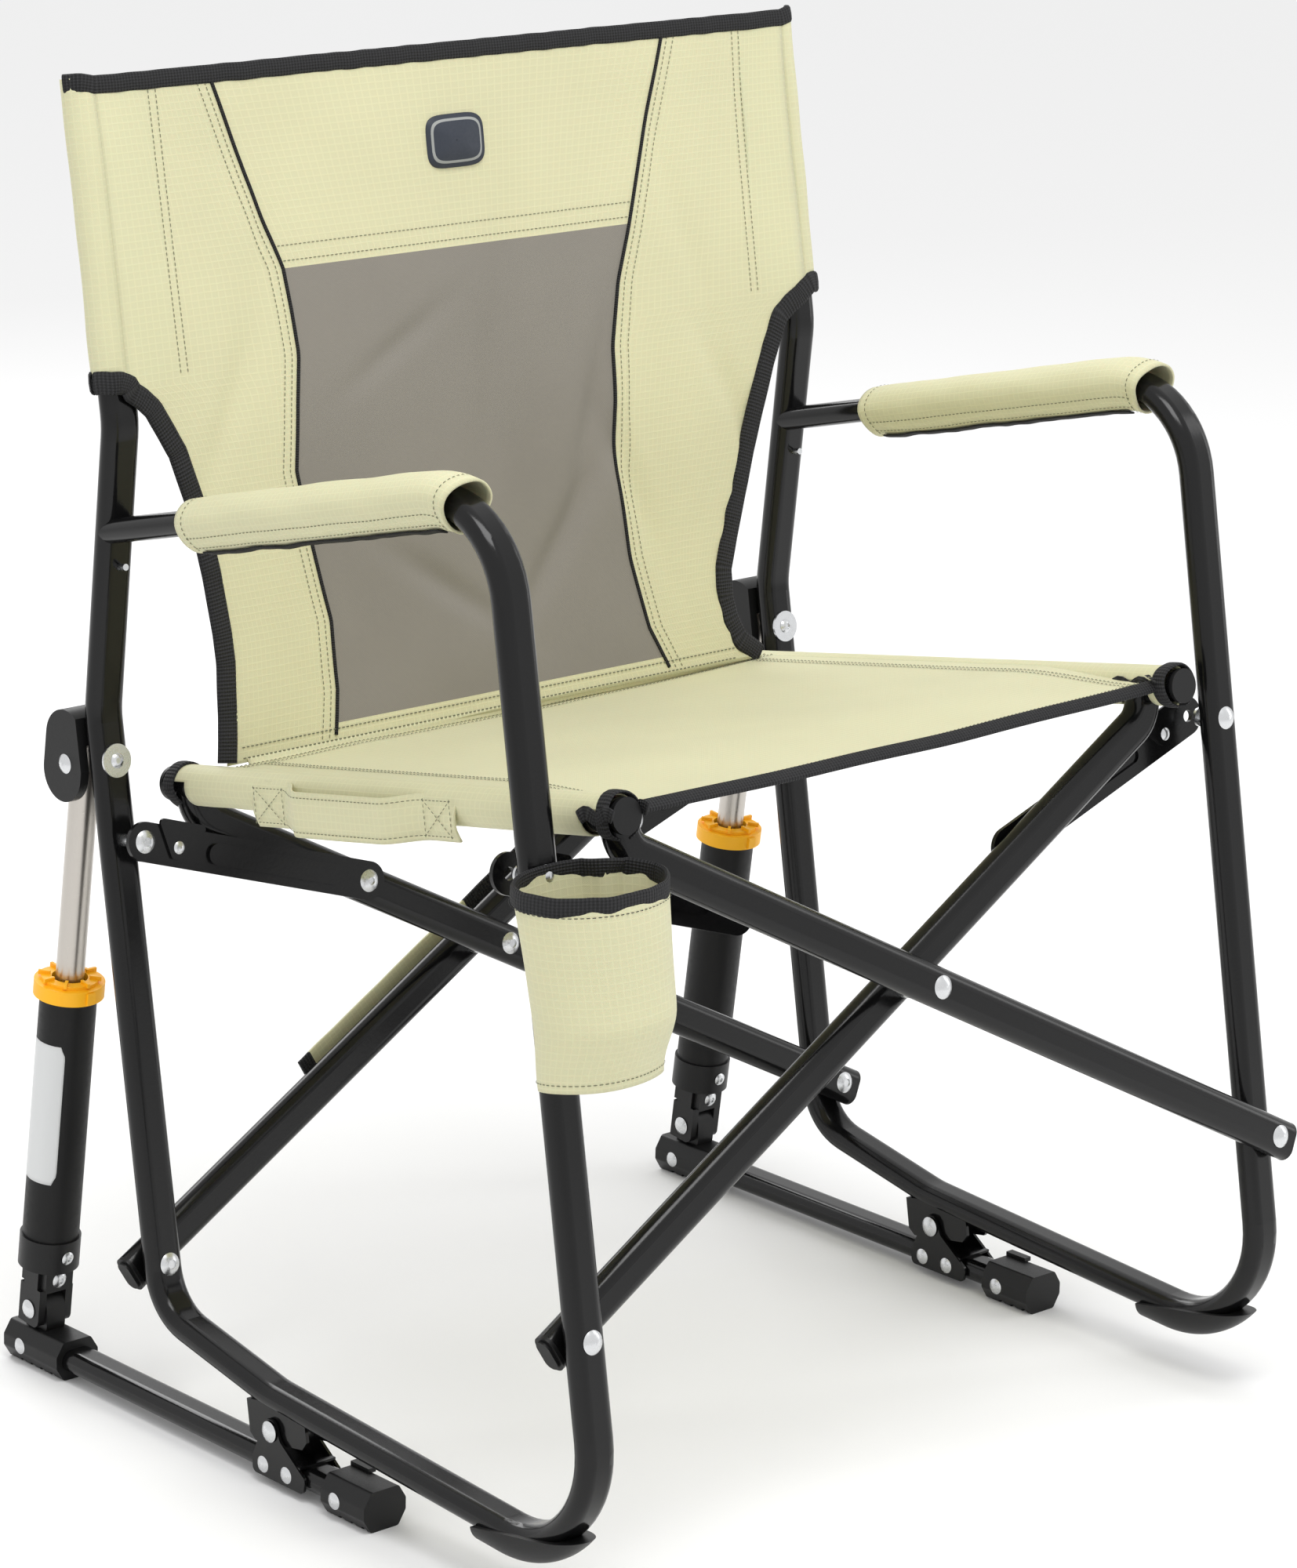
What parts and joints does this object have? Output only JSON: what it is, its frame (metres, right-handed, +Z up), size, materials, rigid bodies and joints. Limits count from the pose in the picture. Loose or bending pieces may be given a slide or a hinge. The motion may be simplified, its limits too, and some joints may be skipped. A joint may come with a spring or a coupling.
{
  "type": "folding camp rocking chair",
  "caption": "Folding camp chair with a fabric sling seat, padded arms, a side cup pocket and two floor rails on which the sprung frame rocks.",
  "frame": {"origin": "middle of the whole chair's footprint, on the floor", "axes": "+Z up, the sitter faces -Y, +X is to the right when looking at the chair from the front"},
  "size_m": [0.6675, 0.6068, 0.8771],
  "materials": {
    "black_powder_coat": "gloss powder coat",
    "black_plastic": "satin moulded",
    "black_cylinder": "satin",
    "orange_plastic": "satin moulded",
    "nickel_rod": "nickel plated",
    "zinc_hardware": "zinc plated",
    "black_webbing": "woven webbing",
    "ripstop_fabric": "coated ripstop"
  },
  "bodies": {
    "left_base": {"left_rail": "black_powder_coat", "left_rear_casting": "black_plastic", "left_front_cap": "black_plastic", "left_rocker_bracket": "black_powder_coat", "left_base_rivets": "zinc_hardware"},
    "left_frame": {"left_side_frame": "black_powder_coat", "left_front_foot": "black_plastic", "left_rocker_saddle": "black_powder_coat", "left_arm_sleeve": "ripstop_fabric", "left_shock_mount": "black_plastic", "left_frame_fasteners": "zinc_hardware", "cup_holder": "ripstop_fabric", "back_sling": "ripstop_fabric"},
    "left_cylinder": {"left_shock_knuckle": "black_plastic", "left_shock_sleeve": "black_plastic", "left_shock_cylinder": "black_cylinder", "left_shock_collar": "orange_plastic", "left_shock_screws": "zinc_hardware", "left_shock_spring": "zinc_hardware"},
    "left_rod": {"left_shock_rod": "nickel_rod"},
    "left_links": {"front_left_link": "black_powder_coat", "rear_left_link": "black_powder_coat", "left_lock_plates": "black_powder_coat", "left_link_rivets": "zinc_hardware"},
    "right_base": {"right_rail": "black_powder_coat", "right_rear_casting": "black_plastic", "right_front_cap": "black_plastic", "right_rocker_bracket": "black_powder_coat", "right_base_rivets": "zinc_hardware"},
    "right_frame": {"right_side_frame": "black_powder_coat", "right_front_foot": "black_plastic", "right_rocker_saddle": "black_powder_coat", "right_arm_sleeve": "ripstop_fabric", "right_shock_mount": "black_plastic", "right_frame_fasteners": "zinc_hardware"},
    "right_cylinder": {"right_shock_knuckle": "black_plastic", "right_shock_sleeve": "black_plastic", "right_shock_cylinder": "black_cylinder", "right_shock_collar": "orange_plastic", "right_shock_screws": "zinc_hardware", "right_shock_spring": "zinc_hardware"},
    "right_rod": {"right_shock_rod": "nickel_rod"},
    "right_links": {"front_right_link": "black_powder_coat", "rear_right_link": "black_powder_coat", "right_lock_plates": "black_powder_coat", "right_link_rivets": "zinc_hardware"},
    "leg_a": {"front_leg_a": "black_powder_coat", "rear_leg_a": "black_powder_coat", "right_seat_tube": "black_powder_coat", "leg_a_end_caps": "black_plastic", "leg_a_rivets": "zinc_hardware", "leg_strap": "black_webbing"},
    "leg_b": {"front_leg_b": "black_powder_coat", "rear_leg_b": "black_powder_coat", "left_seat_tube": "black_powder_coat", "leg_b_end_caps": "black_plastic", "leg_b_rivets": "zinc_hardware", "cross_spacers": "zinc_hardware", "seat_sling": "ripstop_fabric", "carry_handle": "ripstop_fabric"}
  },
  "joints": [
    {"name": "rock", "type": "hinge", "parent": "left_base", "child": "left_frame", "pos_m": [-0.28375, 0.01743, 0.038], "axis": [1, 0, 0], "range_deg": [-10, 4], "stiffness_Nm_per_rad": 90, "deforming": ["left_shock_spring", "right_shock_spring"]},
    {"name": "fold", "type": "hinge", "parent": "left_frame", "child": "leg_a", "pos_m": [-0.28375, -0.26186, 0.18168], "axis": [0, -0.9848, 0.1736], "range_deg": [0, 50.5], "deforming": ["seat_sling", "back_sling", "carry_handle"]},
    {"name": "scissor", "type": "hinge", "parent": "leg_a", "child": "leg_b", "pos_m": [0.01325, -0.23443, 0.33728], "axis": [0, -0.9848, 0.1736], "range_deg": [-101, 0]},
    {"name": "right_side_fold", "type": "hinge", "parent": "leg_b", "child": "right_frame", "pos_m": [0.31025, -0.26186, 0.18168], "axis": [0, -0.9848, 0.1736], "range_deg": [0, 50.5]},
    {"name": "right_rock", "type": "hinge", "parent": "right_frame", "child": "right_base", "pos_m": [0.31025, 0.01743, 0.038], "axis": [1, 0, 0], "range_deg": [-4, 10]},
    {"name": "left_link_fold", "type": "hinge", "parent": "left_frame", "child": "left_links", "pos_m": [-0.28375, -0.21324, 0.45743], "axis": [0, -0.9848, 0.1736], "range_deg": [0, 95.6]},
    {"name": "right_link_fold", "type": "hinge", "parent": "right_frame", "child": "right_links", "pos_m": [0.31025, -0.21324, 0.45743], "axis": [0, -0.9848, 0.1736], "range_deg": [-95.6, 0]},
    {"name": "left_cylinder_lean", "type": "hinge", "parent": "left_base", "child": "left_cylinder", "pos_m": [-0.28375, 0.27943, 0.041], "axis": [1, 0, 0], "range_deg": [-9.6, 3.84]},
    {"name": "right_cylinder_lean", "type": "hinge", "parent": "right_base", "child": "right_cylinder", "pos_m": [0.31025, 0.27943, 0.041], "axis": [1, 0, 0], "range_deg": [-9.6, 3.84]},
    {"name": "left_rod_lean", "type": "hinge", "parent": "left_frame", "child": "left_rod", "pos_m": [-0.28375, 0.23154, 0.43107], "axis": [1, 0, 0], "range_deg": [-0.16, 0.4]},
    {"name": "right_rod_lean", "type": "hinge", "parent": "right_frame", "child": "right_rod", "pos_m": [0.31025, 0.23154, 0.43107], "axis": [1, 0, 0], "range_deg": [-0.16, 0.4]}
  ],
  "couplings": [
    {"joint": "scissor", "follows": "fold", "ratio": -2},
    {"joint": "right_side_fold", "follows": "fold", "ratio": 1},
    {"joint": "right_rock", "follows": "rock", "ratio": -1},
    {"joint": "left_link_fold", "follows": "fold", "ratio": 1.893},
    {"joint": "right_link_fold", "follows": "fold", "ratio": -1.893},
    {"joint": "left_cylinder_lean", "follows": "rock", "ratio": 0.96},
    {"joint": "right_cylinder_lean", "follows": "rock", "ratio": 0.96},
    {"joint": "left_rod_lean", "follows": "rock", "ratio": -0.04},
    {"joint": "right_rod_lean", "follows": "rock", "ratio": -0.04}
  ]
}
